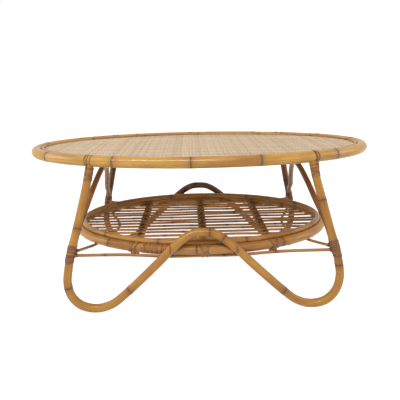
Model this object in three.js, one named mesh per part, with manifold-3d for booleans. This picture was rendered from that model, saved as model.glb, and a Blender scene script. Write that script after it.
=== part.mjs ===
// A wicker coffee table. An oval woven top stands on two leg frames, each one continuous bent
// pole, and an oval slatted shelf is slung between them. The poles are tied with rattan peel.
// Millimetres, +X along the length, +Z up, the floor at z = 0 and the table's middle at x = y = 0.
import * as THREE from "three";
import { mergeVertices } from "three/addons/utils/BufferGeometryUtils.js";
import { ConvexGeometry } from "three/addons/geometries/ConvexGeometry.js";
import Module from "manifold-3d";

const wasm = await Module();
wasm.setup();

// ------------------------------------------------------------------ driving dimensions
const GAP = 0.3; // left between pieces that touch
const CUT_GAP = 0.4; // left round a pole where it runs through or into another piece
const CRUMB = 0.06; // detail smaller than this is smoothed off a cut piece

const TOP_LENGTH = 1200;
const TOP_DEPTH = 662;
const TOP_HEIGHT = 476;
const RIM = { diameter: 35, steps: 72, sides: 12 };
const BEAD = { width: 10, height: 9, sides: 6 }; // strip round the mat, on the board
const MAT = { drop: 9, thickness: 3 }; // its face lies this far below the top of the rim
const BOARD = { thickness: 12, clearance: 1.2 };

const LEG = { diameter: 25, steps: 84, sides: 8 };
const LEAN = 0.23; // a leg frame moves out this far for each millimetre it drops
const LEG_TOP_X = 345;
const LEG_TOP_Y = 258;
const LEG_TOP_Z = 441;
const KNEE_Z = 201; // below this height a leg frame bends back under the table
const TUCK = 0.001576; // how sharply it bends, per millimetre
const FOOT_FLAT = 1.5; // sanded off below each foot loop, so that it stands flat
const STAY = { diameter: 19, steps: 30, sides: 6 }; // arch from front leg to back leg
const STAY_TOP = 397;

const SHELF_LENGTH = 902;
const SHELF_DEPTH = 618;
const SHELF_Z = 185;
const RING = { diameter: 28, steps: 56, sides: 8 };
const TRIM = { diameter: 17, inset: 13.2, rise: 18.9, sides: 6 }; // lies on the ring, inside it
const SLAT = { diameter: 8, count: 17, pitch: 33, drop: 10, sides: 8 }; // low in the ring
const CROSSBAR = { diameter: 16, sides: 8, places: [-215, 4, 221], short: 11 };
const BOW = { diameter: 9, steps: 18, sides: 6 };

const PEEL = 2.2; // thickness of a layer of binding
const BINDING_SIDES = 8;
const LEG_BINDING = { low: 168, high: 212 }; // ties a leg, a stay and two bows
const RIM_BINDING = { width: 15, low: 402 }; // over the rim and down the top of a leg
const RING_BINDING = { x: 100, width: 26 }; // where a leg frame crosses the shelf ring
const LASHING_WIDTH = 16; // round the ring, where a crossbar meets it
const SPLICE = { from: -188, to: -124 }; // coil over the joint in the shelf ring

// ------------------------------------------------------------------ materials
const finish = (color, roughness) => () =>
  new THREE.MeshStandardMaterial({ color, roughness, metalness: 0 });
const POLE = finish(0xc8913f, 0.35);
const ROD = finish(0xa8692c, 0.45);
const BINDING = finish(0xb98445, 0.5);
const WEAVE = finish(0xd7bf96, 0.65);
const PLYWOOD = finish(0xb08a5a, 0.8);

// ------------------------------------------------------------------ curves
// The parallel curve, `inset` inside an ellipse. All the rings of one family share their
// parameter, so their corners line up and the gap between them stays even.
class Oval extends THREE.Curve {
  constructor(length, depth, inset, z) {
    super();
    Object.assign(this, { a: length / 2, b: depth / 2, inset, z });
  }

  getPoint(t, target = new THREE.Vector3()) {
    const angle = 2 * Math.PI * t;
    const x = this.a * Math.cos(angle);
    const y = this.b * Math.sin(angle);
    const normal = new THREE.Vector2(x / this.a ** 2, y / this.b ** 2).normalize();
    return target.set(x - this.inset * normal.x, y - this.inset * normal.y, this.z);
  }

  getUtoTmapping(u) {
    return u;
  }

  // The parameter of the point that lies furthest along -Y (or +Y) at a given x.
  at(x, side) {
    const angle = Math.acos(x / (this.a - this.inset));
    return (side > 0 ? angle : 2 * Math.PI - angle) / (2 * Math.PI);
  }
}

// One stretch of another curve.
class Stretch extends THREE.Curve {
  constructor(curve, from, to) {
    super();
    Object.assign(this, { curve, from, to });
  }

  getPoint(t, target = new THREE.Vector3()) {
    return this.curve.getPoint(this.from + (this.to - this.from) * t, target);
  }
}

const vector = (p) => new THREE.Vector3(...p);
const smooth = (points) => new THREE.CatmullRomCurve3(points.map(vector), false, "centripetal");
const mirrored = ([middle, ...half]) => [
  ...half.toReversed().map(([x, y, z]) => [-x, y, z]),
  middle,
  ...half,
];

// The last place at which a curve passes through a height, as a parameter from 0 to 1.
function lastAtHeight(curve, z, samples = 2000) {
  const heights = curve.getPoints(samples).map((p) => p.z - z);
  const i = heights.findLastIndex((h, k) => k > 0 && h * heights[k - 1] <= 0);
  return i / samples;
}

// ------------------------------------------------------------------ solids
function circle(radius, sides) {
  const corner = (i) => {
    const angle = (2 * Math.PI * (i + 0.5)) / sides;
    return new THREE.Vector2(radius * Math.cos(angle), radius * Math.sin(angle));
  };
  return Array.from({ length: sides }, (_, i) => corner(i));
}

function pole(curve, { diameter, steps, sides }, swell = 0) {
  const section = new THREE.Shape(circle(diameter / 2 + swell, sides));
  return new THREE.ExtrudeGeometry(section, { steps, extrudePath: curve });
}

function hoop(oval, { diameter, sides }, steps, swell = 0) {
  return new THREE.TubeGeometry(oval, steps, diameter / 2 + swell, sides, true);
}

function plate(oval, thickness, steps) {
  const outline = Array.from({ length: steps }, (_, i) => oval.getPoint(i / steps));
  const shape = new THREE.Shape(outline.map((p) => new THREE.Vector2(p.x, p.y)));
  const options = { depth: thickness, bevelEnabled: false };
  return new THREE.ExtrudeGeometry(shape, options).translate(0, 0, oval.z);
}

function toSolid(geometry) {
  const bare = geometry.clone();
  for (const name of Object.keys(bare.attributes)) {
    if (name !== "position") bare.deleteAttribute(name);
  }
  const merged = mergeVertices(bare);
  return new wasm.Manifold(
    new wasm.Mesh({
      numProp: 3,
      vertProperties: merged.attributes.position.array,
      triVerts: Uint32Array.from(merged.index.array),
    }),
  );
}

function toGeometry(solid) {
  const mesh = solid.getMesh();
  const geometry = new THREE.BufferGeometry();
  geometry.setAttribute("position", new THREE.BufferAttribute(mesh.vertProperties, 3));
  geometry.setIndex(new THREE.BufferAttribute(mesh.triVerts, 1));
  geometry.computeVertexNormals();
  return geometry;
}

// The largest body left of a geometry once the cutters are taken away.
function cut(geometry, cutters) {
  const rest = cutters.reduce((solid, c) => solid.subtract(c), toSolid(geometry));
  const bodies = rest.decompose().sort((p, q) => q.volume() - p.volume());
  return toGeometry(bodies[0].asOriginal().simplify(CRUMB));
}

// A tight skin round stretches of poles: what a few turns of peel make when pulled hard.
function skin(stretches) {
  const points = [];
  for (const { curve, from, to, diameter } of stretches) {
    for (const t of [from, (from + to) / 2, to]) {
      const centre = curve.getPoint(t);
      const turn = new THREE.Quaternion().setFromUnitVectors(
        new THREE.Vector3(0, 0, 1),
        curve.getTangent(t),
      );
      for (const p of circle(diameter / 2 + PEEL, BINDING_SIDES)) {
        points.push(new THREE.Vector3(p.x, p.y, 0).applyQuaternion(turn).add(centre));
      }
    }
  }
  return new ConvexGeometry(points);
}

const table = new THREE.Group();

function add(name, geometry, material) {
  const mesh = new THREE.Mesh(geometry, material());
  mesh.name = name;
  table.add(mesh);
}

// ------------------------------------------------------------------ where the poles run
const rimLength = TOP_LENGTH - RIM.diameter;
const rimDepth = TOP_DEPTH - RIM.diameter;
const rimZ = TOP_HEIGHT - RIM.diameter / 2;
const rimCurve = new Oval(rimLength, rimDepth, 0, rimZ);

const matTop = TOP_HEIGHT - MAT.drop;
const boardTop = matTop - MAT.thickness - GAP;
const boardInset = RIM.diameter / 2 + BOARD.clearance;
const boardCurve = new Oval(rimLength, rimDepth, boardInset, boardTop - BOARD.thickness);
const beadInset = RIM.diameter / 2 + BEAD.width / 2 - 2; // tucked under the rim's shoulder
const beadZ = boardTop + GAP + BEAD.height / 2;
const matInset = beadInset + BEAD.width / 2 + GAP;
const matCurve = new Oval(rimLength, rimDepth, matInset, matTop - MAT.thickness);

function frameY(z) {
  const below = Math.max(KNEE_Z - z, 0);
  return LEG_TOP_Y + LEAN * (LEG_TOP_Z - z) - TUCK * below ** 2;
}

const footZ = LEG.diameter / 2 - FOOT_FLAT;
// Half of a leg frame in its own leaning plane: over the middle arch, down the diagonal,
// round the foot loop and up the leg to the rim.
const frameHalf = [
  [0, 243],
  [30, 240],
  [59, 226],
  [93, 200],
  [139, 156],
  [190, 108],
  [237, 63],
  [281, 26],
  [327, footZ],
  [371, 23],
  [399, 58],
  [409, 104],
  [405, 146],
  [397, 194],
  [383, 252],
  [367, 326],
  [353, 391],
  [LEG_TOP_X, LEG_TOP_Z],
];

const framePath = (side) =>
  smooth(mirrored(frameHalf.map(([x, z]) => [x, side * frameY(z), z])));

const frames = { front: framePath(-1), back: framePath(1) };

const legX = (z) => frames.back.getPoint(lastAtHeight(frames.back, z)).x;
const beside = LEG.diameter / 2 + STAY.diameter / 2 + CUT_GAP;
const stayY = (z) => frameY(z) - beside * Math.hypot(1, LEAN);
const { low: stayFoot } = LEG_BINDING;
// Half of a stay: up beside the leg, then over to the middle in one low arch.
const stayHalf = [
  [legX(stayFoot), stayY(stayFoot), stayFoot],
  [legX(221), stayY(221) - 0.6, 221],
  [387, 240, 257],
  [376, 186, 298],
  [363, 118, 350],
  [354, 56, 385],
  [350, 0, STAY_TOP],
];

function stayPath(side) {
  const back = stayHalf.map(([x, y, z]) => [side * x, y, z]);
  const front = back.slice(0, -1).map(([x, y, z]) => [x, -y, z]);
  return smooth([...front, ...back.toReversed()]);
}

const stays = { left: stayPath(-1), right: stayPath(1) };

const ringLength = SHELF_LENGTH - RING.diameter;
const ringDepth = SHELF_DEPTH - RING.diameter;
const ringCurve = new Oval(ringLength, ringDepth, 0, SHELF_Z);
const trimCurve = new Oval(ringLength, ringDepth, TRIM.inset, SHELF_Z + TRIM.rise);
const slatZ = SHELF_Z - SLAT.drop;
const crossbarZ = slatZ - SLAT.diameter / 2 - GAP - CROSSBAR.diameter / 2;

const underRing = SHELF_Z - RING.diameter / 2 - CUT_GAP - BOW.diameter / 2 - 0.2;
// The long bows pass under the middle of the ring's long sides; the short ones bend in
// under the slats, towards the middle of the table. `end` is the height a long bow is tied at.
const longBow = (side, end) =>
  smooth(
    mirrored([
      [0, side * 291, underRing],
      [100, side * 292, underRing],
      [240, side * 297, end - 7],
      [382, side * 311, end],
    ]),
  );
const shortBowHalf = [
  [382, 294, 191],
  [373, 232, 175],
  [350, 160, underRing - 2.5],
  [318, 80, underRing - 2.5],
];

function shortBow(side) {
  const back = shortBowHalf.map(([x, y, z]) => [side * x, y, z]);
  const front = back.map(([x, y, z]) => [x, -y, z]).toReversed();
  return smooth([...back, [side * 303, 0, underRing - 2.5], ...front]);
}

const bows = {
  front: longBow(-1, 183),
  back: longBow(1, 174),
  left: shortBow(-1),
  right: shortBow(1),
};

const crossbarRods = CROSSBAR.places.map((x) => {
  const reach = ringCurve.getPoint(ringCurve.at(x, 1)).y - CROSSBAR.short;
  return new THREE.LineCurve3(vector([x, -reach, crossbarZ]), vector([x, reach, crossbarZ]));
});
const slatRods = Array.from({ length: SLAT.count }, (_, i) => {
  const y = (i - (SLAT.count - 1) / 2) * SLAT.pitch;
  const reach = (ringLength / 2) * Math.sqrt(1 - ((2 * y) / ringDepth) ** 2);
  return new THREE.LineCurve3(vector([-reach, y, slatZ]), vector([reach, y, slatZ]));
});

function beadGeometry(swell) {
  const section = { diameter: BEAD.width, sides: BEAD.sides };
  const flat = new Oval(rimLength, rimDepth, beadInset, 0);
  return hoop(flat, section, RIM.steps, swell)
    .scale(1, 1, BEAD.height / BEAD.width)
    .translate(0, 0, beadZ);
}

// The pieces a little larger than they are, which clear the ones that wrap round them.
const fatPoles = (curves, size) => curves.map((curve) => toSolid(pole(curve, size, CUT_GAP)));

function fatPlate({ inset, z }, thickness) {
  const outline = new Oval(rimLength, rimDepth, inset - GAP, z - GAP);
  return toSolid(plate(outline, thickness + 2 * GAP, RIM.steps));
}

const fat = {
  rim: toSolid(hoop(rimCurve, RIM, RIM.steps, CUT_GAP)),
  bead: toSolid(beadGeometry(CUT_GAP)),
  mat: fatPlate(matCurve, MAT.thickness),
  board: fatPlate(boardCurve, BOARD.thickness),
  frames: fatPoles(Object.values(frames), LEG),
  stays: fatPoles(Object.values(stays), STAY),
  ring: toSolid(hoop(ringCurve, RING, RING.steps, CUT_GAP)),
  trim: toSolid(hoop(trimCurve, TRIM, RING.steps, CUT_GAP)),
  crossbars: fatPoles(crossbarRods, { ...CROSSBAR, steps: 1 }),
  slats: fatPoles(slatRods, { ...SLAT, steps: 1 }),
  bows: fatPoles(Object.values(bows), BOW),
};

// ------------------------------------------------------------------ the top
function buildTop() {
  add("rim", hoop(rimCurve, RIM, RIM.steps), POLE);
  add("edge_bead", beadGeometry(0), POLE);
  add("woven_mat", plate(matCurve, MAT.thickness, RIM.steps), WEAVE);
  add("top_board", plate(boardCurve, BOARD.thickness, RIM.steps), PLYWOOD);
}

// ------------------------------------------------------------------ legs and stays
function buildFrames() {
  const floor = toSolid(new THREE.BoxGeometry(1000, 1000, 100).translate(0, 0, -50));
  for (const [name, curve] of Object.entries(frames)) {
    add("leg_frame_" + name, cut(pole(curve, LEG), [floor, fat.rim]), POLE);
  }
  for (const [name, curve] of Object.entries(stays)) {
    add("stay_" + name, pole(curve, STAY), POLE);
  }
}

// ------------------------------------------------------------------ the shelf
function buildShelf() {
  add("shelf_ring", hoop(ringCurve, RING, RING.steps), POLE);
  add("shelf_trim", hoop(trimCurve, TRIM, RING.steps), POLE);
  for (const [i, rod] of crossbarRods.entries()) {
    add("crossbar_" + (i + 1), cut(pole(rod, { ...CROSSBAR, steps: 1 }), [fat.ring]), ROD);
  }
  for (const [i, rod] of slatRods.entries()) {
    const name = "slat_" + String(i + 1).padStart(2, "0");
    add(name, cut(pole(rod, { ...SLAT, steps: 1 }), [fat.ring]), ROD);
  }
  for (const [name, curve] of Object.entries(bows)) add("bow_" + name, pole(curve, BOW), ROD);
}

// ------------------------------------------------------------------ bindings of peel
const mirrorX = (solid) => solid.mirror([1, 0, 0]);

// The part of an oval's pole from one x to another, along its front (-1) or back (1).
function alongOval(curve, side, low, high, { diameter }) {
  const [from, to] = [curve.at(low, side), curve.at(high, side)];
  return { curve, from: Math.min(from, to), to: Math.max(from, to), diameter };
}

function alongFrame(side, low, high) {
  const curve = frames[side > 0 ? "back" : "front"];
  const { diameter } = LEG;
  return { curve, from: lastAtHeight(curve, low), to: lastAtHeight(curve, high), diameter };
}

// The last point of a frame curve before its middle that is at a given x, as a parameter.
function frameAtX(curve, x, samples = 2000) {
  const points = curve.getPoints(samples);
  return points.findIndex((p, i) => i > samples / 2 && p.x >= x) / samples;
}

function tie(name, stretches, cutters, flip) {
  const geometry = cut(skin(stretches), cutters);
  add(name, flip ? toGeometry(mirrorX(toSolid(geometry))) : geometry, BINDING);
}

function buildBindings() {
  const tops = [fat.rim, fat.bead, fat.mat, fat.board];
  const shelf = [fat.ring, fat.trim, ...fat.crossbars];
  for (const [row, side] of [["front", -1], ["back", 1]]) {
    const frame = frames[row];
    const stayEnd = side > 0 ? [0.93, 1] : [0, 0.07];
    const ringFrom = RING_BINDING.x - RING_BINDING.width / 2;
    const ringTo = RING_BINDING.x + RING_BINDING.width / 2;
    const overRim = [LEG_TOP_X - RIM_BINDING.width / 2, LEG_TOP_X + RIM_BINDING.width / 2];
    const stay = { curve: stays.right, from: stayEnd[0], to: stayEnd[1], ...STAY };
    for (const [name, flip] of [["left", true], ["right", false]]) {
      tie(
        "rim_binding_" + row + "_" + name,
        [alongOval(rimCurve, side, ...overRim, RIM), alongFrame(side, RIM_BINDING.low, LEG_TOP_Z - 3)],
        [...tops, ...fat.frames, ...fat.stays],
        flip,
      );
      tie(
        "leg_binding_" + row + "_" + name,
        [alongFrame(side, LEG_BINDING.low, LEG_BINDING.high), stay],
        [...fat.frames, ...fat.stays, ...fat.bows],
        flip,
      );
      const crossing = {
        curve: frame,
        from: frameAtX(frame, ringFrom),
        to: frameAtX(frame, ringTo),
        ...LEG,
      };
      tie(
        "ring_binding_" + row + "_" + name,
        [alongOval(ringCurve, side, ringFrom, ringTo, RING), crossing],
        [...shelf, ...fat.frames, ...fat.bows, ...fat.slats],
        flip,
      );
    }
    for (const [i, x] of CROSSBAR.places.entries()) {
      const lashing = alongOval(ringCurve, side, x - LASHING_WIDTH / 2, x + LASHING_WIDTH / 2, RING);
      tie("lashing_" + row + "_" + (i + 1), [lashing], [...shelf, ...fat.bows, ...fat.slats], false);
    }
  }
  const { from, to, diameter } = alongOval(ringCurve, -1, SPLICE.from, SPLICE.to, RING);
  const coil = pole(new Stretch(ringCurve, from, to), { diameter, steps: 4, sides: RING.sides }, PEEL);
  add("ring_splice", cut(coil, [fat.ring, fat.trim, ...fat.slats, ...fat.bows]), BINDING);
}

buildTop();
buildFrames();
buildShelf();
buildBindings();

export default table;
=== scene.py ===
"""A wicker coffee table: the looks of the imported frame, in metres, in the frame's own axes.

Every pole is a swept mesh with the swellings and dark rings of real rattan, every binding is a
strip wound round its poles, and the top is woven strand by strand.
"""
import math

import bpy
import numpy as np
from mathutils import Matrix, Vector


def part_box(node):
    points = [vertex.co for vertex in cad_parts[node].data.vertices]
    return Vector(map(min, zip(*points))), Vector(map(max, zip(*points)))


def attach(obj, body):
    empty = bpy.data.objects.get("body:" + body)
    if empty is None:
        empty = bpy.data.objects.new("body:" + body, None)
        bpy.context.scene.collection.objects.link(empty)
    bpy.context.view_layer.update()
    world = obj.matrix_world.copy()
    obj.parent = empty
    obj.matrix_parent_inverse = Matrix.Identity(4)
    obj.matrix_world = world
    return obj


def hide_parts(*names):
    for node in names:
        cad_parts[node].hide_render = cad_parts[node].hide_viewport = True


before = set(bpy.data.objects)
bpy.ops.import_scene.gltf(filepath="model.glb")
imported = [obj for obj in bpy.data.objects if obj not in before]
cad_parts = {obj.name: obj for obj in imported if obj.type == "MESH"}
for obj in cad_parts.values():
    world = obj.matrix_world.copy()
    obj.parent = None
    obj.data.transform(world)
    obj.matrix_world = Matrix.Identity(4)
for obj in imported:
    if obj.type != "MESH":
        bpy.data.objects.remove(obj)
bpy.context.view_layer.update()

SEED = 94
MM = 0.001
ROWS = (("front", -1), ("back", 1))
HANDS = (("left", -1), ("right", 1))


# ---------------------------------------------------------------- sizes, from the frame
def centre(node):
    low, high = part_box(node)
    return (low + high) / 2


def size(node):
    low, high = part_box(node)
    return high - low


RIM_D = size("rim").z
RIM_Z = centre("rim").z
RIM_A = (size("rim").x - RIM_D) / 2
RIM_B = (size("rim").y - RIM_D) / 2
MAT_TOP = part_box("woven_mat")[1].z
BEAD_H = size("edge_bead").z
BEAD_W = 10 * MM
BEAD_INSET = RIM_A - (size("edge_bead").x - BEAD_W) / 2
MAT_INSET = RIM_A - size("woven_mat").x / 2

LEG_D = 25 * MM
FRAME_TOP = 447 * MM  # a frame's ends run a little way up into the rim
LEG_TOP = Vector((345 * MM, 258 * MM, 441 * MM))
LEAN = 0.23  # how far a frame leans out, as a share of its drop
KNEE_Z = 201 * MM
TUCK = 1.576  # how sharply it bends back in below its knee, per metre
STAY_D = 19 * MM
STAY_GAP = 0.4 * MM  # between a stay and the leg beside it
BOW_D = 9 * MM
FLOOR_CLEAR = 0.1 * MM

RING_D = size("shelf_ring").z
RING_Z = centre("shelf_ring").z
RING_A = (size("shelf_ring").x - RING_D) / 2
RING_B = (size("shelf_ring").y - RING_D) / 2
TRIM_D = size("shelf_trim").z
TRIM_Z = centre("shelf_trim").z
TRIM_INSET = 13.2 * MM
SLAT_D = 8 * MM
ROD_R = 6.3 * MM  # a crossbar is two rods
ROD_APART = 7.4 * MM  # from the middle of a crossbar to the middle of a rod
PEEL = 1.5 * MM  # thickness of a strip of peel
PEEL_W = 4.6 * MM


# ---------------------------------------------------------------- curves
OVAL_POINTS = 2880
SPAN_POINTS = 60  # of a smooth curve, between two of the points that it passes


def oval(a, b, inset, z):
    """Points of the parallel curve `inset` inside an ellipse, without the closing point."""
    t = np.linspace(0, 2 * np.pi, OVAL_POINTS, endpoint=False)
    x, y = a * np.cos(t), b * np.sin(t)
    n = np.stack([x / a**2, y / b**2], 1)
    n /= np.linalg.norm(n, axis=1)[:, None]
    return np.stack([x - inset * n[:, 0], y - inset * n[:, 1], np.full(OVAL_POINTS, z)], 1)


def smooth_curve(points):
    """A centripetal Catmull-Rom curve through the points, as close-set points."""
    p = np.asarray(points, float)
    p = np.vstack([2 * p[0] - p[1], p, 2 * p[-1] - p[-2]])
    out = []
    for i in range(1, len(p) - 2):
        q = p[i - 1:i + 3]
        knots = np.concatenate([[0], np.cumsum(np.linalg.norm(np.diff(q, axis=0), axis=1) ** 0.5)])
        t = np.linspace(knots[1], knots[2], SPAN_POINTS, endpoint=False)[:, None]

        def mix(a, b, ta, tb):
            return ((tb - t) * a + (t - ta) * b) / (tb - ta)

        a = [mix(q[k], q[k + 1], knots[k], knots[k + 1]) for k in range(3)]
        b = [mix(a[k], a[k + 1], knots[k], knots[k + 2]) for k in range(2)]
        out.append(mix(b[0], b[1], knots[1], knots[2]))
    return np.vstack([*out, p[-2:-1]])


def near_x(path, x, side):
    """The index at which a path passes x on its front (-1) or back (1)."""
    on_side = path[:, 1] * side > 0
    return int(np.argmin(np.where(on_side, np.abs(path[:, 0] - x), np.inf)))


def starting_at(path, x, side):
    """The closed path turned so that it starts at x on its front (-1) or back (1)."""
    return np.roll(path, -near_x(path, x, side), 0)


def at_height(path, z):
    """The last place at which a path passes through a height, as an index."""
    above = path[:, 2] - z
    return int(np.nonzero(above[1:] * above[:-1] <= 0)[0][-1]) + 1


def arc_length(points):
    return np.concatenate([[0], np.cumsum(np.linalg.norm(np.diff(points, axis=0), axis=1))])


def places_along(path, spots, axes=(1, 1, 1)):
    """How far along a path the points nearest to spots in millimetres lie, by the axes given."""
    s, seen = arc_length(path), path * axes
    return sorted(s[np.argmin(np.linalg.norm(seen - np.array(p) * MM, axis=1))] for p in spots)


# ---------------------------------------------------------------- paths of legs, stays and bows
# Half of a leg frame, as x and z: over the middle arch, down the diagonal, round the foot loop
# and up the leg to the rim.
FRAME_HALF = [
    (0, 243), (30, 240), (59, 226), (93, 200), (139, 156), (190, 108), (237, 63), (281, 26),
    (327, 11), (371, 23), (399, 58), (409, 104), (405, 146), (397, 194), (383, 252), (367, 326),
    (353, 391), (345, 441),
]
# A stay above its lower bindings, from beside the leg up towards its middle.
STAY_RISE = [(387, 240, 257), (376, 186, 298), (363, 118, 350), (354, 56, 385)]


def frame_y(z):
    """A leg frame leans out as it drops, and bends back under the table below its knee."""
    return LEG_TOP.y + LEAN * (LEG_TOP.z - z) - TUCK * max(KNEE_Z - z, 0) ** 2


def frame_path(side):
    half = [(x * MM, side * frame_y(z * MM), z * MM) for x, z in FRAME_HALF]
    left = [(-x, y, z) for x, y, z in half[:0:-1]]
    return smooth_curve(left + half)


LEG_PATH = {row: frame_path(side) for row, side in ROWS}


def leg_x(z):
    return LEG_PATH["back"][at_height(LEG_PATH["back"], z)][0]


def stay_y(z):
    beside = LEG_D / 2 + STAY_D / 2 + STAY_GAP
    return frame_y(z) - beside * math.hypot(1, LEAN)


def stay_path(side):
    """Up beside the front leg, over under the top, and down beside the back leg."""
    foot, lift = 168 * MM, 221 * MM
    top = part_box("stay_right")[1].z - STAY_D / 2
    back = [
        (leg_x(foot), stay_y(foot), foot),
        (leg_x(lift), stay_y(lift) - 0.6 * MM, lift),
        *[(x * MM, y * MM, z * MM) for x, y, z in STAY_RISE],
    ]
    back = [(side * x, y, z) for x, y, z in back]
    front = [(x, -y, z) for x, y, z in back]
    return smooth_curve([*front, (side * 350 * MM, 0, top), *back[::-1]])


def long_bow(side, end):
    """From leg to leg along the table: tied at the height `end`, and just under the shelf ring."""
    under_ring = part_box("bow_front")[0].z + BOW_D / 2
    plan = [(0, 291), (100, 292), (240, 297), (382, 311)]
    heights = [under_ring, under_ring, (end - 7) * MM, end * MM]
    half = [(x * MM, side * y * MM, z) for (x, y), z in zip(plan, heights)]
    return smooth_curve([(-x, y, z) for x, y, z in half[:0:-1]] + half)


def short_bow(side):
    """From leg to leg across the table, sagging to pass under the end of the shelf ring."""
    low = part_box("bow_left")[0].z + BOW_D / 2
    plan = [(382, 294), (373, 232), (350, 160), (318, 80)]
    heights = [191 * MM, 175 * MM, low, low]
    half = [(side * x * MM, y * MM, z) for (x, y), z in zip(plan, heights)]
    return smooth_curve([*half, (side * 303 * MM, 0, low), *[(x, -y, z) for x, y, z in half[::-1]]])


STAY_PATH = {name: stay_path(hand) for name, hand in HANDS}
BOW_PATH = {
    "front": long_bow(-1, 183),
    "back": long_bow(1, 174),
    "left": short_bow(-1),
    "right": short_bow(1),
}
RIM_PATH = starting_at(oval(RIM_A, RIM_B, 0, RIM_Z), LEG_TOP.x, -1)
BEAD_PATH = starting_at(oval(RIM_A, RIM_B, BEAD_INSET, centre("edge_bead").z), LEG_TOP.x, 1)
RING_PATH = starting_at(oval(RING_A, RING_B, 0, RING_Z), -100 * MM, 1)
TRIM_PATH = starting_at(oval(RING_A, RING_B, TRIM_INSET, TRIM_Z), 10 * MM, 1)
SLATS = sorted(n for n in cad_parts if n.startswith("slat_"))
CROSSBARS = sorted(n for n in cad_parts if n.startswith("crossbar_"))


# ---------------------------------------------------------------- meshes
def new_object(name, verts, faces, attributes=None, smooth=True):
    """A mesh object, with attributes that each hold a number or a vector for every point."""
    mesh = bpy.data.meshes.new(name)
    mesh.from_pydata(np.asarray(verts).tolist(), [], faces)
    for key, values in (attributes or {}).items():
        values = np.asarray(values, np.float32)
        kind = "FLOAT_VECTOR" if values.ndim == 2 else "FLOAT"
        layer = mesh.attributes.new(key, kind, "POINT")
        layer.data.foreach_set("vector" if values.ndim == 2 else "value", values.ravel())
    if smooth:
        mesh.polygons.foreach_set("use_smooth", [True] * len(mesh.polygons))
    obj = bpy.data.objects.new(name, mesh)
    bpy.context.scene.collection.objects.link(obj)
    return obj


def finish_piece(obj, node, material):
    """Gives a piece its material, says which body it rides on, and hides the part that it stands
    for.
    """
    obj.data.materials.append(material)
    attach(obj, "root")
    if node:
        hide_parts(node)


def ring_faces(rings, sides, closed):
    """The faces of a tube of rings of points: one that doesn't close on itself has end faces."""
    k = np.arange(rings if closed else rings - 1)[:, None] * sides
    j = np.arange(sides)[None, :]
    after = (k + sides) % (rings * sides)
    nxt = (j + 1) % sides
    quads = np.stack(np.broadcast_arrays(k + j, k + nxt, after + nxt, after + j), -1)
    faces = quads.reshape(-1, 4).tolist()
    if not closed:
        faces.append(list(range(sides))[::-1])
        faces.append(list(range((rings - 1) * sides, rings * sides)))
    return faces


def soft_noise(rng, s, wavelength):
    """A smooth random curve along s, from -1 to 1."""
    total = 0
    for k in range(3):
        wave = 2 * np.pi * s / (wavelength * (0.6 + 0.5 * k))
        total = total + np.sin(wave + rng.uniform(0, 6.28)) / 3
    return total


def bell(distance, reach):
    """1 at no distance, falling away smoothly beyond the reach."""
    return np.exp(-((distance / reach) ** 2))


# ---------------------------------------------------------------- poles
# Where extra rings of points lie round a joint, to hold its swelling and its groove.
NEAR_JOINT = np.array([-9, -6, -4, -2.6, -1.6, -0.9, 0, 0.9, 1.6, 2.6, 4, 6, 9]) * MM
CLOSEST_RINGS = 0.35 * MM
TAPER_REACH = 20 * MM
SWELL_REACH = 7 * MM
GROOVE_REACH = 0.9 * MM
GROOVE_DEPTH = 0.05  # as a share of the radius
STAIN_REACH = 2.3 * MM  # of the dark ring at a joint
HALO_REACH = 13 * MM  # of the shade to each side of it
FULLNESS = 1.015  # of a pole, against its nominal radius


def joint_places(rng, length, gap):
    """Joints at uneven steps along a pole."""
    joints, at = [], rng.uniform(0.3, 0.8) * gap[0]
    while at < length - 0.4 * gap[0]:
        joints.append(at)
        at += rng.uniform(*gap)
    return joints


def ring_places(joints, length, step, closed):
    """Where the rings of points of a pole lie: at even steps, and close together at each joint."""
    dense = (joints[:, None] + NEAR_JOINT[None, :]).ravel()
    dense = dense[(dense > 0) & (dense < length)]
    s = np.concatenate([np.arange(0, length, step), dense, [] if closed else [length]])
    s = np.unique(np.round(s, 6))
    s = s[np.concatenate([[True], np.diff(s) > CLOSEST_RINGS])]
    if closed and length - s[-1] < CLOSEST_RINGS:
        s = s[:-1]
    return s


def frames_along(points, closed):
    """Normals and binormals along points, which turn as little as they can."""
    if closed:
        tangents = np.roll(points, -1, 0) - np.roll(points, 1, 0)
    else:
        tangents = np.gradient(points, axis=0)
    tangents /= np.linalg.norm(tangents, axis=1)[:, None]
    start = np.array([0, 0, 1.0]) if abs(tangents[0][2]) < 0.8 else np.array([1.0, 0, 0])
    normal = start - tangents[0] * (start @ tangents[0])
    normals = [normal / np.linalg.norm(normal)]
    for t in tangents[1:]:
        n = normals[-1] - t * (normals[-1] @ t)
        normals.append(n / np.linalg.norm(n))
    normals = np.array(normals)
    return normals, np.cross(tangents, normals)


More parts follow.
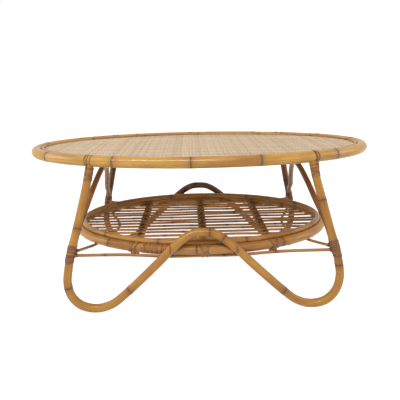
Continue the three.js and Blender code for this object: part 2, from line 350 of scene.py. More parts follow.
def pole(name, path, diameter, node, material, sides, seed, closed=False, gap=(0.17, 0.3),
         step=7 * MM, wander=0.0, swell=0.045, flat=1.0, joints=None):
    """A rattan pole along a path: it swells at each joint, where a fine dark groove runs round."""
    rng = np.random.default_rng(SEED + seed)
    path = np.vstack([path, path[:1]]) if closed else path
    s_path = arc_length(path)
    length = s_path[-1]
    joints = np.array(joint_places(rng, length, gap) if joints is None else joints)
    s = ring_places(joints, length, step, closed)
    points = np.stack([np.interp(s, s_path, path[:, k]) for k in range(3)], 1)
    normals, binormals = frames_along(points, closed)
    points = points + normals * (wander * soft_noise(rng, s, 0.31))[:, None]
    points = points + binormals * (wander * soft_noise(rng, s, 0.23))[:, None]

    from_joint = np.abs(s[:, None] - joints[None, :]).min(1)
    between = np.searchsorted(joints, s)
    tone = rng.uniform(0, 1, len(joints) + 1)[between]
    taper = rng.uniform(-0.012, 0.012, len(joints) + 1)[between]
    radius = diameter / 2 * (
        1 + taper * np.clip(from_joint / TAPER_REACH, 0, 1)
        + 0.008 * soft_noise(rng, s, 0.12)
        + swell * bell(from_joint, SWELL_REACH)
        - GROOVE_DEPTH * bell(from_joint, GROOVE_REACH)
    ) * FULLNESS
    angle = np.linspace(0, 2 * np.pi, sides, endpoint=False)
    c, sn = np.cos(angle), np.sin(angle)
    lumps = 1 + 0.006 * np.sin(3 * angle[None, :] + 9 * s[:, None] + rng.uniform(0, 6))
    around = radius[:, None] * lumps
    verts = (points[:, None, :] + (around * c)[..., None] * normals[:, None, :]
             + flat * (around * sn)[..., None] * binormals[:, None, :]).reshape(-1, 3)
    verts[:, 2] = np.maximum(verts[:, 2], FLOOR_CLEAR)  # the feet are sanded flat
    lay = np.stack([np.broadcast_to(c * diameter / 2, around.shape),
                    np.broadcast_to(sn * diameter / 2, around.shape),
                    np.broadcast_to(s[:, None], around.shape)], -1).reshape(-1, 3)
    lay[:, :2] += rng.uniform(-3, 3, 2)
    obj = new_object(name, verts, ring_faces(len(s), sides, closed), {
        "lay": lay,
        "joint": np.repeat(bell(from_joint, STAIN_REACH), sides),
        "halo": np.repeat(bell(from_joint, HALO_REACH), sides),
        "tone": np.repeat(tone, sides),
    })
    finish_piece(obj, node, material)


# ---------------------------------------------------------------- strips wound round poles
OUTLINE = 48  # points round a section that a binding is wound on
HULL_DIRECTIONS = 720
FADE = 9 * MM  # how far past its end a pole still counts in a section, less and less
REACH = 45 * MM  # beyond which a pole is no part of a section


def hull_outline(circles):
    """Evenly spaced points and outward normals of the band that fits tight round circles."""
    psi = np.linspace(0, 2 * np.pi, HULL_DIRECTIONS, endpoint=False)
    n = np.stack([np.cos(psi), np.sin(psi)], 1)
    centres = np.array([c[:2] for c in circles])
    radii = np.array([c[2] for c in circles])
    best = np.argmax(n @ centres.T + radii[None, :], 1)
    band = centres[best] + radii[best][:, None] * n
    closed = np.vstack([band, band[:1]])
    along = arc_length(closed)
    at = np.linspace(0, along[-1], OUTLINE, endpoint=False)
    points = np.stack([np.interp(at, along, closed[:, k]) for k in range(2)], 1)
    tangent = np.roll(points, -1, 0) - np.roll(points, 1, 0)
    normal = np.stack([tangent[:, 1], -tangent[:, 0]], 1)
    return points, normal / np.linalg.norm(normal, axis=1)[:, None]


class Stations:
    """Sections through all that a binding takes in, at even steps along its main pole."""

    def __init__(self, path, first, last, radius, count, others=(), fixed=()):
        """`others` are paths with radii, and `fixed` are points with radii."""
        rows = []
        for i in np.linspace(first, last, count).astype(int):
            i = min(max(i, 1), len(path) - 2)
            c, a = path[i], path[i + 1] - path[i - 1]
            a = a / np.linalg.norm(a)
            u = np.cross([0, 0, 1.0], a) if abs(a[2]) < 0.8 else np.array([1.0, 0, 0]) - a * a[0]
            u /= np.linalg.norm(u)
            v = np.cross(a, u)
            circles = [(0, 0, radius)]
            for other, r in others:
                offset = other[np.argmin(np.linalg.norm(other - c, axis=1))] - c
                here = np.clip(1.2 - abs(offset @ a) / FADE, 0, 1)
                if here > 0 and np.linalg.norm(offset) < REACH:
                    circles.append((here * (offset @ u), here * (offset @ v), here * r))
            circles += [((p - c) @ u, (p - c) @ v, r) for p, r in fixed]
            rows.append((c, u, v, a, *hull_outline(circles)))
        self.c, self.u, self.v, self.a, self.outline, self.outward = (
            np.array([row[k] for row in rows]) for k in range(6))


class Strips:
    """Gathers the strips of one binding into one piece."""

    PROFILE = np.array([(-0.5, 0), (-0.42, 0.7), (0, 1), (0.42, 0.7), (0.5, 0)])
    # How much painted shade darkens each point of the section: most at its edges, for the gaps
    # between turns.
    EDGE_SHADE = np.array([1, 0.3, 0, 0.3, 1])

    def __init__(self, seed):
        self.verts, self.faces, self.lay, self.tone, self.edge = [], [], [], [], []
        self.rng = np.random.default_rng(SEED + seed)
        self.count = 0

    def add(self, points, normals, width, tone):
        """A domed flat strip along points, closed at both ends."""
        along = np.gradient(points, axis=0)
        across = np.cross(along, normals)
        across /= np.linalg.norm(across, axis=1)[:, None]
        p = self.PROFILE
        verts = (points[:, None] + across[:, None] * (p[:, 0] * width)[None, :, None]
                 + normals[:, None] * (p[:, 1] * PEEL)[None, :, None]).reshape(-1, 3)
        s = np.repeat(arc_length(points), len(p))
        offset = self.rng.uniform(0, 5)
        self.lay.append(np.stack([np.tile(p[:, 0] * width, len(points)) + offset,
                                  np.zeros(len(verts)), s + offset], 1))
        wobble = 0.5 + 0.75 * soft_noise(self.rng, s, 0.11)
        own = self.rng.uniform(0, 1) if tone is None else tone
        self.tone.append(np.clip(0.6 * wobble + 0.4 * own, 0, 1))
        self.edge.append(np.tile(self.EDGE_SHADE, len(points)))
        faces = ring_faces(len(points), len(p), False)
        self.faces += [[i + self.count for i in f] for f in faces]
        self.verts.append(verts)
        self.count += len(verts)

    def wind(self, stations, turns, width=PEEL_W, slant=0.0, start=0.0, lift=0.0,
             span=(0.0, 1.0), per_turn=36, lead=0.0, tone=None):
        """Winds a strip round the stations, from one end of the span to the other."""
        k = np.arange(int(round(turns * per_turn)) + 1)
        f = (span[0] + (span[1] - span[0]) * k / k[-1]) * (len(stations.c) - 1)
        i = np.clip(f.astype(int), 0, len(stations.c) - 2)
        w = (f - i)[:, None]
        turn = (start + k / per_turn) % 1
        g = turn * OUTLINE
        j, h = g.astype(int) % OUTLINE, (g - np.floor(g))[:, None]

        def between(values):
            return values[i] * (1 - w) + values[i + 1] * w

        def around(values):
            def one(row):
                return values[row, j] * (1 - h) + values[row, (j + 1) % OUTLINE] * h
            return one(i) * (1 - w) + one(i + 1) * w

        c, u, v, a = (between(x) for x in (stations.c, stations.u, stations.v, stations.a))
        p, q = around(stations.outline), around(stations.outward)
        q /= np.linalg.norm(q, axis=1)[:, None]
        normal = q[:, :1] * u + q[:, 1:] * v
        wave = (slant * np.sin(2 * np.pi * turn) + lead * np.cos(2 * np.pi * turn))[:, None]
        points = c + p[:, :1] * u + p[:, 1:] * v + lift * normal + wave * a
        self.add(points, normal, width, tone)

    def piece(self, name, node, material):
        obj = new_object(name, np.vstack(self.verts), self.faces, {
            "lay": np.vstack(self.lay),
            "tone": np.concatenate(self.tone),
            "edge": np.concatenate(self.edge),
        })
        finish_piece(obj, node, material)


# ---------------------------------------------------------------- materials
JOINT_COLOUR = (0.05, 0.018, 0.008)
PLY = 2.4 * MM  # thickness of one ply of the board


def darker(colour, share):
    return [c * share for c in colour]


class Look:
    """A node material with short names for the nodes it is made of."""

    def __init__(self, name, roughness, coat=0.0, coat_roughness=0.1, specular=0.5):
        self.material = bpy.data.materials.new(name)
        self.material.use_nodes = True
        self.tree = self.material.node_tree
        self.shader = self.tree.nodes["Principled BSDF"]
        self.shader.inputs["Roughness"].default_value = roughness
        self.shader.inputs["Coat Weight"].default_value = coat
        self.shader.inputs["Coat Roughness"].default_value = coat_roughness
        self.shader.inputs["Specular IOR Level"].default_value = specular

    def node(self, kind, **settings):
        node = self.tree.nodes.new(kind)
        for key, value in settings.items():
            setattr(node, key, value)
        return node

    def feed(self, socket, value):
        if isinstance(value, bpy.types.NodeSocket):
            self.tree.links.new(value, socket)
        else:
            socket.default_value = value

    def attribute(self, name, output="Fac"):
        return self.node("ShaderNodeAttribute", attribute_name=name).outputs[output]

    def scaled(self, vector, scale):
        node = self.node("ShaderNodeVectorMath", operation="MULTIPLY")
        self.feed(node.inputs[0], vector)
        node.inputs[1].default_value = scale
        return node.outputs["Vector"]

    def noise(self, vector, scale, detail, roughness=0.55):
        node = self.node("ShaderNodeTexNoise")
        self.feed(node.inputs["Vector"], self.scaled(vector, scale))
        node.inputs["Scale"].default_value = 1.0
        node.inputs["Detail"].default_value = detail
        node.inputs["Roughness"].default_value = roughness
        return node.outputs["Fac"]

    def spread(self, value, low, high, to_low=0.0, to_high=1.0):
        node = self.node("ShaderNodeMapRange")
        self.feed(node.inputs["Value"], value)
        limits = {"From Min": low, "From Max": high, "To Min": to_low, "To Max": to_high}
        for key, number in limits.items():
            node.inputs[key].default_value = number
        return node.outputs["Result"]

    def math(self, operation, a, b=0.0):
        node = self.node("ShaderNodeMath", operation=operation)
        self.feed(node.inputs[0], a)
        self.feed(node.inputs[1], b)
        return node.outputs["Value"]

    def mix(self, factor, a, b):
        node = self.node("ShaderNodeMix", data_type="RGBA")
        self.feed(node.inputs["Factor"], factor)
        for socket, value in ((node.inputs[6], a), (node.inputs[7], b)):
            self.feed(socket, value if isinstance(value, bpy.types.NodeSocket) else (*value, 1.0))
        return node.outputs[2]

    def separated(self, vector):
        node = self.node("ShaderNodeSeparateXYZ")
        self.feed(node.inputs[0], vector)
        return node.outputs

    def colour(self, value):
        self.feed(self.shader.inputs["Base Color"], value)

    def rough(self, value):
        self.feed(self.shader.inputs["Roughness"], value)

    def bump(self, height, distance, strength, coat=True):
        node = self.node("ShaderNodeBump")
        self.feed(node.inputs["Height"], height)
        node.inputs["Distance"].default_value = distance
        node.inputs["Strength"].default_value = strength
        self.feed(self.shader.inputs["Normal"], node.outputs["Normal"])
        if coat:
            self.feed(self.shader.inputs["Coat Normal"], node.outputs["Normal"])


def rattan(name, light, dark, coat, roughness=0.42):
    """Peeled rattan under lacquer: long fibres, blotches of stain, a dark ring at each joint."""
    look = Look(name, roughness, coat=coat, coat_roughness=0.12, specular=0.2)
    lay = look.attribute("lay", "Vector")
    fibres = look.noise(lay, (1400, 1400, 22), detail=4, roughness=0.6)
    streaks = look.noise(lay, (420, 420, 6), detail=3)
    blotches = look.noise(lay, (30, 30, 9), detail=3)
    own_tone = look.math("MULTIPLY", look.attribute("tone"), 0.35)
    stained = look.spread(blotches, 0.3, 0.7, 0.0, 0.65)
    colour = look.mix(look.math("ADD", own_tone, stained), dark, light)
    colour = look.mix(look.spread(streaks, 0.42, 0.7, 0.0, 0.6), colour, dark)
    colour = look.mix(look.spread(fibres, 0.5, 0.75, 0.0, 0.35), colour, darker(dark, 0.45))
    colour = look.mix(look.math("MULTIPLY", look.attribute("halo"), 0.45), colour, darker(dark, 0.6))
    colour = look.mix(look.math("MULTIPLY", look.attribute("joint"), 0.85), colour, JOINT_COLOUR)
    look.colour(colour)
    look.rough(look.spread(blotches, 0.3, 0.7, roughness - 0.07, roughness + 0.1))
    look.bump(look.math("ADD", fibres, look.math("MULTIPLY", blotches, 1.5)), 0.18 * MM, 0.6)
    return look.material


def peel_look(name, light, dark, gap_shade):
    """Flat strips of peel: fibres along the strip, each turn a little different, and painted shade
    darkening the edges of each turn, where it meets the next.
    """
    look = Look(name, 0.45, coat=0.2, coat_roughness=0.2, specular=0.2)
    lay = look.attribute("lay", "Vector")
    fibres = look.noise(lay, (2600, 1, 26), detail=4, roughness=0.6)
    stains = look.noise(lay, (60, 1, 45), detail=3)
    colour = look.mix(look.attribute("tone"), dark, light)
    colour = look.mix(look.spread(stains, 0.45, 0.75, 0.0, 0.6), colour, dark)
    colour = look.mix(look.spread(fibres, 0.48, 0.75, 0.0, 0.4), colour, darker(dark, 0.4))
    # Painted shade at the edges of each turn, for the gaps between turns.
    colour = look.mix(look.math("POWER", look.attribute("edge"), 1.3), colour, gap_shade)
    look.colour(colour)
    look.rough(look.spread(stains, 0.3, 0.7, 0.36, 0.55))
    look.bump(fibres, 0.2 * MM, 0.6)
    return look.material


def weave_look(name, light, dark, gap_shade):
    """Pale split rattan without lacquer, each strand of its own tone, with painted shade darkening
    its edges, in the gaps between strands.
    """
    look = Look(name, 0.62, specular=0.35)
    lay = look.attribute("lay", "Vector")
    fibres = look.noise(lay, (2200, 1, 20), detail=3, roughness=0.6)
    stains = look.noise(lay, (25, 25, 14), detail=3)
    colour = look.mix(look.attribute("tone"), dark, light)
    colour = look.mix(look.spread(stains, 0.45, 0.75, 0.0, 0.4), colour, dark)
    colour = look.mix(look.spread(fibres, 0.5, 0.78, 0.0, 0.3), colour, darker(dark, 0.6))
    # Painted shade at the strands' edges, for the gaps between them.
    colour = look.mix(look.math("MULTIPLY", look.attribute("edge"), 0.7), colour, gap_shade)
    look.colour(colour)
    look.rough(look.spread(stains, 0.3, 0.7, 0.55, 0.72))
    look.bump(fibres, 0.12 * MM, 0.5, coat=False)
    return look.material


def plywood_look(name):
    """Plain plywood: long grain over the face, and its plies as lines round the edge."""
    look = Look(name, 0.7, specular=0.3)
    coordinates = look.node("ShaderNodeTexCoord").outputs
    place = coordinates["Object"]
    grain = look.noise(place, (6, 190, 40), detail=5, roughness=0.65)
    bands = look.noise(place, (1.6, 24, 5), detail=2)
    colour = look.mix(look.spread(bands, 0.35, 0.65), (0.42, 0.27, 0.14), (0.55, 0.39, 0.22))
    colour = look.mix(look.spread(grain, 0.5, 0.7, 0.0, 0.5), colour, (0.22, 0.12, 0.05))
    plies = look.math("FRACT", look.math("MULTIPLY", look.separated(place)["Z"], 1 / PLY))
    facing_up = look.math("ABSOLUTE", look.separated(coordinates["Normal"])["Z"])
    edge = look.math("LESS_THAN", facing_up, 0.5)
    dark_ply = look.math("MULTIPLY", edge, look.spread(plies, 0.45, 0.55))
    colour = look.mix(look.math("MULTIPLY", dark_ply, 0.5), colour, (0.2, 0.11, 0.05))
    look.colour(colour)
    look.bump(grain, 0.2 * MM, 0.5, coat=False)
    return look.material


RIM_LOOK = rattan("rattan_rim", (0.45, 0.255, 0.046), (0.21, 0.086, 0.013), coat=0.35)
POLE_LOOK = rattan("rattan_pole", (0.39, 0.19, 0.026), (0.19, 0.073, 0.01), coat=0.25)
# The back frame's rattan is the pole's rattan made darker: painted shade, for the shade under the
# top.
BACK_SHADE_LOOK = rattan("rattan_back_painted_shade", (0.17, 0.075, 0.026), (0.08, 0.03, 0.012), coat=0.15)
# The stays' rattan is the pole's rattan made darker: painted shade, for the shade under the top.
STAY_SHADE_LOOK = rattan("rattan_stay_painted_shade", (0.28, 0.115, 0.032), (0.14, 0.05, 0.014), coat=0.15)
SHELF_LOOK = rattan("rattan_shelf", (0.4, 0.2, 0.042), (0.2, 0.08, 0.018), coat=0.25)
ROD_LOOK = rattan("rattan_rod", (0.4, 0.19, 0.045), (0.19, 0.075, 0.02), coat=0.15, roughness=0.48)
# The peel's last colour is painted shade, for the gaps between turns.
PEEL_LOOK = peel_look(
    "rattan_peel", (0.37, 0.17, 0.04), (0.12, 0.045, 0.013), (0.025, 0.009, 0.005))
# The leg bindings' peel is the peel made darker: painted shade, for the shade under the top.
SHADED_PEEL_LOOK = peel_look(
    "rattan_peel_painted_shade", (0.24, 0.095, 0.03), (0.1, 0.036, 0.014), (0.02, 0.008, 0.005))
# The weave's last colour is painted shade, for the gaps between strands.
WEAVE_LOOK = weave_look(
    "rattan_weave", (0.53, 0.405, 0.27), (0.3, 0.21, 0.125), (0.1, 0.06, 0.035))
PLY_LOOK = plywood_look("plywood")


# ---------------------------------------------------------------- the top
# Joints of the rim, as x and y.
RIM_JOINTS = [
    (-496, -164), (-268, -278), (-34, -313), (174, -299), (424, -215), (575, 48), (484, 175),
    (236, 287), (-35, 313), (-262, 280), (-478, 179), (-574, 54),
]
STRAND_PITCH = 5.6 * MM
STRAND_W = 4.7 * MM
STRAND_T = 0.8 * MM
STRAND_STRAY = 0.12 * MM  # how far a strand commonly lies off its even step
STRAND_PROFILE = np.array([(-0.5, 0), (-0.32, 1), (0.32, 1), (0.5, 0)])
# How much painted shade darkens each point of a strand's section: at its edges, for the gaps between
# strands.
STRAND_EDGE_SHADE = [1, 0.1, 0.1, 1]
WEAVE_WAVE = 0.5 * MM
WEAVE_TUCK = 3.5 * MM  # how far the weave runs on past its solid, in under the bead
WEAVE_SINK = 0.3 * MM  # below the top of its solid


def build_top():
    joints = places_along(RIM_PATH, [(x, y, RIM_Z / MM) for x, y in RIM_JOINTS])
    pole("rim", RIM_PATH, RIM_D, "rim", RIM_LOOK, sides=32, seed=1, closed=True,
         joints=joints, swell=0.03)
    pole("edge_bead", BEAD_PATH, BEAD_H, "edge_bead", SHELF_LOOK, sides=14, seed=2,
         closed=True, gap=(0.14, 0.3), flat=BEAD_W / BEAD_H)
    build_mat()
    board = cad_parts["top_board"]
    board.data.materials.clear()
    board.data.materials.append(PLY_LOOK)


def weave_reach(at, along_x, inset):
    """How far the weave's outline reaches from one axis, at places on the other."""
    curve = oval(RIM_A, RIM_B, inset, 0)
    ours, theirs = (curve[:, 0], curve[:, 1]) if along_x else (curve[:, 1], curve[:, 0])
    keep = theirs >= 0
    order = np.argsort(ours[keep])
    return np.interp(np.abs(at), ours[keep][order], theirs[keep][order])


def strand_places(rng, reach):
    """Where the strands that run one way lie: at even steps, each a little off."""
    places = np.arange(-reach + STRAND_PITCH, reach - STRAND_PITCH / 2, STRAND_PITCH)
    return places + rng.normal(0, STRAND_STRAY, len(places))


def strand_faces(rings):
    """The faces of a strand with four points to a ring, closed at both ends."""
    ring = np.arange(rings - 1)[:, None] * 4
    here = ring + np.arange(4)[None, :]
    beside = ring + (np.arange(4)[None, :] + 1) % 4
    sides = np.stack([here, here + 4, beside + 4, beside], -1).reshape(-1, 4)
    return np.vstack([sides, [np.arange(4)], [4 * rings - 1 - np.arange(4)]])


def build_mat():
    """A plain weave of split rattan: each strand goes over one and under the next."""
    rng = np.random.default_rng(SEED + 3)
    inset = MAT_INSET - WEAVE_TUCK
    level = MAT_TOP - WEAVE_SINK - WEAVE_WAVE - STRAND_T
    across = strand_places(rng, RIM_A - inset)
    back = strand_places(rng, RIM_B - inset)
    verts, faces, lay, tone, edge = [], [], [], [], []
    count = 0
    for along_y, places, stops in ((True, across, back), (False, back, across)):
        reach = weave_reach(places, along_y, inset)
        for n, (place, limit) in enumerate(zip(places, reach)):
            inside = np.nonzero(np.abs(stops) < limit - 1 * MM)[0]
            over = np.where((inside + n) % 2 == 0, 1.0, -1.0) * (1 if along_y else -1)
            s = np.concatenate([[-limit], stops[inside], [limit]])
            z = level + WEAVE_WAVE * np.concatenate([[0], over, [0]])
            width = STRAND_W * rng.uniform(0.93, 1.04)
            side = place + STRAND_PROFILE[None, :, 0] * width + np.zeros((len(s), 1))
            high = z[:, None] + STRAND_PROFILE[None, :, 1] * STRAND_T
            far = np.repeat(s[:, None], 4, 1)
            v = np.stack([side, far, high] if along_y else [far, -side, high], -1).reshape(-1, 3)
            faces.append(strand_faces(len(s)) + count)
            verts.append(v)
            count += len(v)
            offset = rng.uniform(0, 9)
            lay.append(np.stack(
                [side.ravel() - place + offset, np.zeros(len(v)), far.ravel() + offset], 1))
            tone.append(np.full(len(v), np.clip(rng.normal(0.6, 0.42), 0, 1)))
            edge.append(np.tile(STRAND_EDGE_SHADE, len(s)))
    obj = new_object("woven_mat", np.vstack(verts), np.vstack(faces).tolist(), {
        "lay": np.vstack(lay),
        "tone": np.concatenate(tone),
        "edge": np.concatenate(edge),
    })
    finish_piece(obj, "woven_mat", WEAVE_LOOK)


# ---------------------------------------------------------------- legs and stays
# Joints of a leg frame, as x and z. The back frame has them the other way round.
FRAME_JOINTS = [
    (-380, 262), (-407, 90), (-222, 77), (18, 242), (60, 226), (238, 62), (396, 140), (366, 330),
]


def build_frames():
    for row, side in ROWS:
        path = LEG_PATH[row]
        upward = (path[-1] - path[-2]) / np.linalg.norm(path[-1] - path[-2])
        top = path[-1] + upward * (FRAME_TOP - path[-1][2])
        path = np.vstack([top * [-1, 1, 1], path, top])
        joints = places_along(path, [(-side * x, 0, z) for x, z in FRAME_JOINTS], axes=(1, 0, 1))
        # The back frame takes the darker copy of the rattan, which is painted shade.
        pole("leg_frame_" + row, path, LEG_D, "leg_frame_" + row,
             POLE_LOOK if row == "front" else BACK_SHADE_LOOK, sides=26, seed=10 + len(row),
             wander=0.8 * MM, joints=joints)
    for name, path in STAY_PATH.items():
        # The stays take a darker copy of the rattan, which is painted shade.
        pole("stay_" + name, path, STAY_D, "stay_" + name, STAY_SHADE_LOOK, sides=18,
             seed=20 + len(name), wander=0.6 * MM)


# ---------------------------------------------------------------- the shelf
TRIM_FULLNESS = 1.06
TRIM_DROP = 0.8 * MM
SLAT_OVERLAP = 7 * MM  # how far a slat runs on past its solid, into the ring
SLAT_STRAY = 3.5 * MM
SLAT_POINTS = 90
ROD_POINTS = 160
WRAP_POINTS = 640
WRAP_STATIONS = 300
WRAP_PITCH = 5.0 * MM
WRAP_W = 5.1 * MM
WRAP_ENDS = 12 * MM  # what the strip leaves free of a crossbar, at both ends together
# The strip climbs over a slat within this distance of it, round a section widened by two circles.
SLAT_CLIMB = 7.5 * MM
CLIMB_R = 3.8 * MM
CLIMB_APART = 2.5 * MM
CLIMB_DROP = 3.2 * MM  # of their centres, below the top of the slat


def build_shelf():
    pole("shelf_ring", RING_PATH, RING_D, "shelf_ring", SHELF_LOOK, sides=26, seed=30,
         closed=True, gap=(0.2, 0.32), swell=0.035)
    pole("shelf_trim", TRIM_PATH - [0, 0, TRIM_DROP], TRIM_D * TRIM_FULLNESS, "shelf_trim",
         SHELF_LOOK, sides=18, seed=31, closed=True, gap=(0.18, 0.3))
    for k, node in enumerate(SLATS):
        build_slat(k, node)
    for name, path in BOW_PATH.items():
        pole("bow_" + name, path, BOW_D, "bow_" + name, ROD_LOOK, sides=14,
             seed=60 + len(name), gap=(0.12, 0.25))
    for k, node in enumerate(CROSSBARS):
        build_crossbar(k, node)


def build_slat(k, node):
    """A rod along the shelf, a little out of line with its neighbours."""
    at, half = centre(node), size(node).x / 2 + SLAT_OVERLAP
    x = np.linspace(-half, half, SLAT_POINTS)
    shift, turn = np.random.default_rng(SEED + 200 + k).uniform(-1, 1, 2) * SLAT_STRAY
    path = np.stack([x, at.y + shift + turn * x / half, np.full(SLAT_POINTS, at.z)], 1)
    pole(node, path, SLAT_D, node, ROD_LOOK, sides=12, seed=40 + k, wander=0.9 * MM,
         gap=(0.1, 0.24), step=12 * MM)


def build_crossbar(k, node):
    """Two rods side by side, bound to every slat by one long strip wound round them all."""
    at, half = centre(node), size(node).y / 2
    for side, letter, stands_for in ((-1, "a", node), (1, "b", None)):
        path = np.stack([np.full(ROD_POINTS, at.x + side * ROD_APART),
                         np.linspace(-half, half, ROD_POINTS), np.full(ROD_POINTS, at.z)], 1)
        pole(f"{node}_rod_{letter}", path, 2 * ROD_R, stands_for, ROD_LOOK, sides=14,
             seed=70 + 2 * k + side)

    middle = np.stack([np.full(WRAP_POINTS, at.x), np.linspace(-half, half, WRAP_POINTS),
                       np.full(WRAP_POINTS, at.z)], 1)
    stations = Stations(middle, 1, WRAP_POINTS - 2, ROD_R, count=WRAP_STATIONS)
    rods = [(-ROD_APART, 0, ROD_R), (ROD_APART, 0, ROD_R)]
    slat_top = centre(SLATS[0]).z + SLAT_D / 2 - at.z
    over_slat = [(x, slat_top - CLIMB_DROP, CLIMB_R) for x in (-CLIMB_APART, CLIMB_APART)]
    flat, flat_out = hull_outline(rods)
    high, high_out = hull_outline(rods + over_slat)
    slat_y = np.array([centre(slat).y for slat in SLATS])
    from_slat = np.abs(stations.c[:, 1, None] - slat_y[None, :])
    near = bell(from_slat, SLAT_CLIMB).max(1)[:, None, None]
    # The stations' u is across the bar and v is up, as the outlines are.
    stations.outline = flat[None] * (1 - near) + high[None] * near
    stations.outward = flat_out[None] * (1 - near) + high_out[None] * near
    strips = Strips(80 + k)
    turns = (2 * half - WRAP_ENDS) / WRAP_PITCH
    strips.wind(stations, turns, width=WRAP_W, span=(0.012, 0.988), per_turn=28, lead=2.0 * MM)
    strips.piece(node + "_wrap", None, PEEL_LOOK)


# ---------------------------------------------------------------- bindings
LEG_BINDING_TONE = 0.35
RIM_BINDING_TONE = 0.3
# Where the loops over the rim lie, in steps of its path from above the leg, and how near to the
# leg a loop takes it in.
RIM_LOOPS = {"left": (-9, -1, 8), "right": (-20, -13, 4, 11)}
LOOP_TAKES_LEG = 6


def up_the_leg(leg, bottom, top, count, others=()):
    """Stations on a leg between two heights in millimetres."""
    low, high = at_height(leg, bottom * MM), at_height(leg, top * MM)
    return Stations(leg, low, high, LEG_D / 2, count, others)


def bind_leg(tag, leg, stay, seed):
    """Peel round the leg alone, then round leg, stay and bows, then round leg and stay."""
    bows = [(path, BOW_D / 2) for path in BOW_PATH.values()]
    strips = Strips(seed)
    parts = ((166, 174, 2.0, []), (175, 202, 6.0, [stay, *bows]), (202.5, 213, 2.3, [stay]))
    for bottom, top, turns, others in parts:
        strips.wind(up_the_leg(leg, bottom, top, 16, others), turns, slant=1.2 * MM, start=0.6,
                    tone=LEG_BINDING_TONE)
    # The leg bindings take a darker copy of the peel, which is painted shade.
    strips.piece("leg_binding_" + tag, "leg_binding_" + tag, SHADED_PEEL_LOOK)


def bind_rim(tag, leg, name, side, hand, seed):
    """Peel round the top of the leg, and loops over the rim."""
    strips = Strips(seed)
    strips.wind(up_the_leg(leg, 397, 438, 10), 8.4, start=0.1, tone=RIM_BINDING_TONE)
    under = leg[at_height(leg, 424 * MM)]
    middle = near_x(RIM_PATH, hand * LEG_TOP.x, side)
    for step in RIM_LOOPS[name]:
        i = middle - side * step
        beneath = [(under, LEG_D / 2)] if abs(step) < LOOP_TAKES_LEG else []
        around = Stations(RIM_PATH, i - 1, i + 1, RIM_D / 2, count=3, fixed=beneath)
        strips.wind(around, 1.0, width=5 * MM, start=0.9, lift=0.1 * MM, tone=RIM_BINDING_TONE)
    strips.piece("rim_binding_" + tag, "rim_binding_" + tag, PEEL_LOOK)


def bind_ring(tag, leg, side, hand, seed):
    """Peel round the shelf ring and the arch of the leg frame that crosses it."""
    strips = Strips(seed)
    first, last = sorted(near_x(RING_PATH, hand * x * MM, side) for x in (91, 109))
    stations = Stations(RING_PATH, first, last, RING_D / 2, 12, [(leg, LEG_D / 2 * 1.15)])
    strips.wind(stations, 4.0, start=0.3)
    strips.piece("ring_binding_" + tag, "ring_binding_" + tag, PEEL_LOOK)


def lash_crossbar(k, node, row, side):
    """Three crosses of peel side by side round the ring, where a crossbar ends under it."""
    x = centre(node).x
    first, last = sorted(near_x(RING_PATH, x + dx * MM, side) for dx in (-7, 7))
    stations = Stations(RING_PATH, first, last, RING_D / 2 + 0.2 * MM, count=4)
    strips = Strips(150 + 10 * k + side)
    for turn, slant in enumerate((-12, 12, -12, 12, -9, 9)):
        shift = 0.15 + 0.35 * (turn // 2)
        strips.wind(stations, 1.0, width=4.4 * MM, slant=slant * MM, start=0.5,
                    span=(shift, shift), lift=(0.2 + 0.9 * (turn % 2)) * MM)
    name = f"lashing_{row}_{k + 1}"
    strips.piece(name, name, PEEL_LOOK)


def bind_splice():
    """One close coil over the place where the two ends of the shelf ring meet."""
    strips = Strips(190)
    whole = starting_at(RING_PATH, 0, 1)
    first, last = sorted(near_x(whole, x * MM, -1) for x in (-188, -114))
    stations = Stations(whole, first, last, RING_D / 2, count=24)
    strips.wind(stations, 16.5, width=4.5 * MM, start=0.4, tone=0.85)
    strips.piece("ring_splice", "ring_splice", PEEL_LOOK)


def build_bindings():
    for row, side in ROWS:
        for name, hand in HANDS:
            tag, seed = f"{row}_{name}", 100 + 10 * side + hand
            leg = LEG_PATH[row] * [hand, 1, 1]
            bind_leg(tag, leg, (STAY_PATH[name], STAY_D / 2), seed)
            bind_rim(tag, leg, name, side, hand, seed + 40)
            bind_ring(tag, leg, side, hand, seed + 80)
        for k, node in enumerate(CROSSBARS):
            lash_crossbar(k, node, row, side)
    bind_splice()


# ---------------------------------------------------------------- camera, floor, light
SENSOR_W = 36  # in millimetres, as the lens is
LENS = 40.455
SHIFT_X, SHIFT_Y = 0.00775, -0.21025  # as shares of the picture's width
FLOOR_HALF = 30


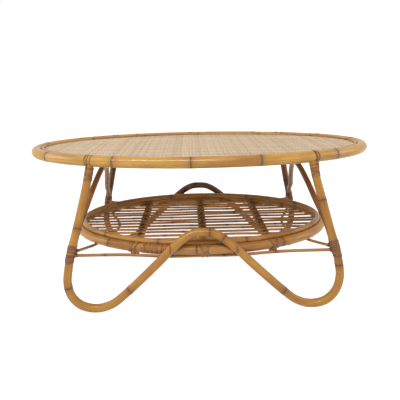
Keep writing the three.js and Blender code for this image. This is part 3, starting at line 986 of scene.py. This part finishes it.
def build_camera():
    """In front of the table and above its top, turned a little down, with the lens shifted."""
    place = Vector((-37, -1626, 704)) * MM
    pan, pitch, roll = (math.radians(v) for v in (-0.99, 4.69, 0.94))
    flat_forward = Vector((-math.sin(pan), math.cos(pan), 0))
    forward = flat_forward * math.cos(pitch) - Vector((0, 0, math.sin(pitch)))
    right = Vector((math.cos(pan), math.sin(pan), 0))
    up = right.cross(forward)
    right = math.cos(roll) * right - math.sin(roll) * up
    up = right.cross(forward)
    data = bpy.data.cameras.new("camera")
    data.sensor_width = SENSOR_W
    data.lens = LENS
    data.shift_x = SHIFT_X
    data.shift_y = SHIFT_Y
    data.clip_start = 10 * MM
    camera = bpy.data.objects.new("camera", data)
    turn = Matrix((right, up, -forward)).transposed().to_4x4()
    camera.matrix_world = Matrix.Translation(place) @ turn
    bpy.context.scene.collection.objects.link(camera)
    bpy.context.scene.camera = camera


def build_floor():
    corners = [(-1, -1), (1, -1), (1, 1), (-1, 1)]
    floor = new_object("floor", [(x * FLOOR_HALF, y * FLOOR_HALF, 0) for x, y in corners],
                       [[0, 1, 2, 3]], smooth=False)
    look = Look("floor", 0.9, specular=0.0)
    look.shader.inputs["Base Color"].default_value = (0.35, 0.35, 0.35, 1)
    look.shader.inputs["Emission Color"].default_value = (1, 1, 1, 1)
    look.shader.inputs["Emission Strength"].default_value = 0.85
    floor.data.materials.append(look.material)


def area_light(name, place, wide, high, power):
    """A rectangle of light that faces the middle of the table."""
    data = bpy.data.lights.new(name, "AREA")
    data.shape = "RECTANGLE"
    data.size = wide
    data.size_y = high
    data.energy = power
    lamp = bpy.data.objects.new(name, data)
    lamp.location = place
    aim = Vector((0, 0, 0.3)) - Vector(place)
    lamp.rotation_euler = aim.to_track_quat("-Z", "Y").to_euler()
    bpy.context.scene.collection.objects.link(lamp)


def build_light():
    world = bpy.data.worlds.new("studio")
    world.use_nodes = True
    background = world.node_tree.nodes["Background"]
    background.inputs["Color"].default_value = (1, 1, 1, 1)
    background.inputs["Strength"].default_value = 1.0
    bpy.context.scene.world = world
    area_light("key", (-0.6, -1.9, 2.4), 2.2, 0.3, 60)
    area_light("left", (-2.6, -0.4, 1.3), 1.2, 1.6, 25)
    area_light("right", (2.6, -0.4, 1.3), 1.2, 1.6, 20)
    bpy.context.scene.view_settings.view_transform = "Standard"


build_camera()
build_floor()
build_light()
build_top()
build_frames()
build_shelf()
build_bindings()
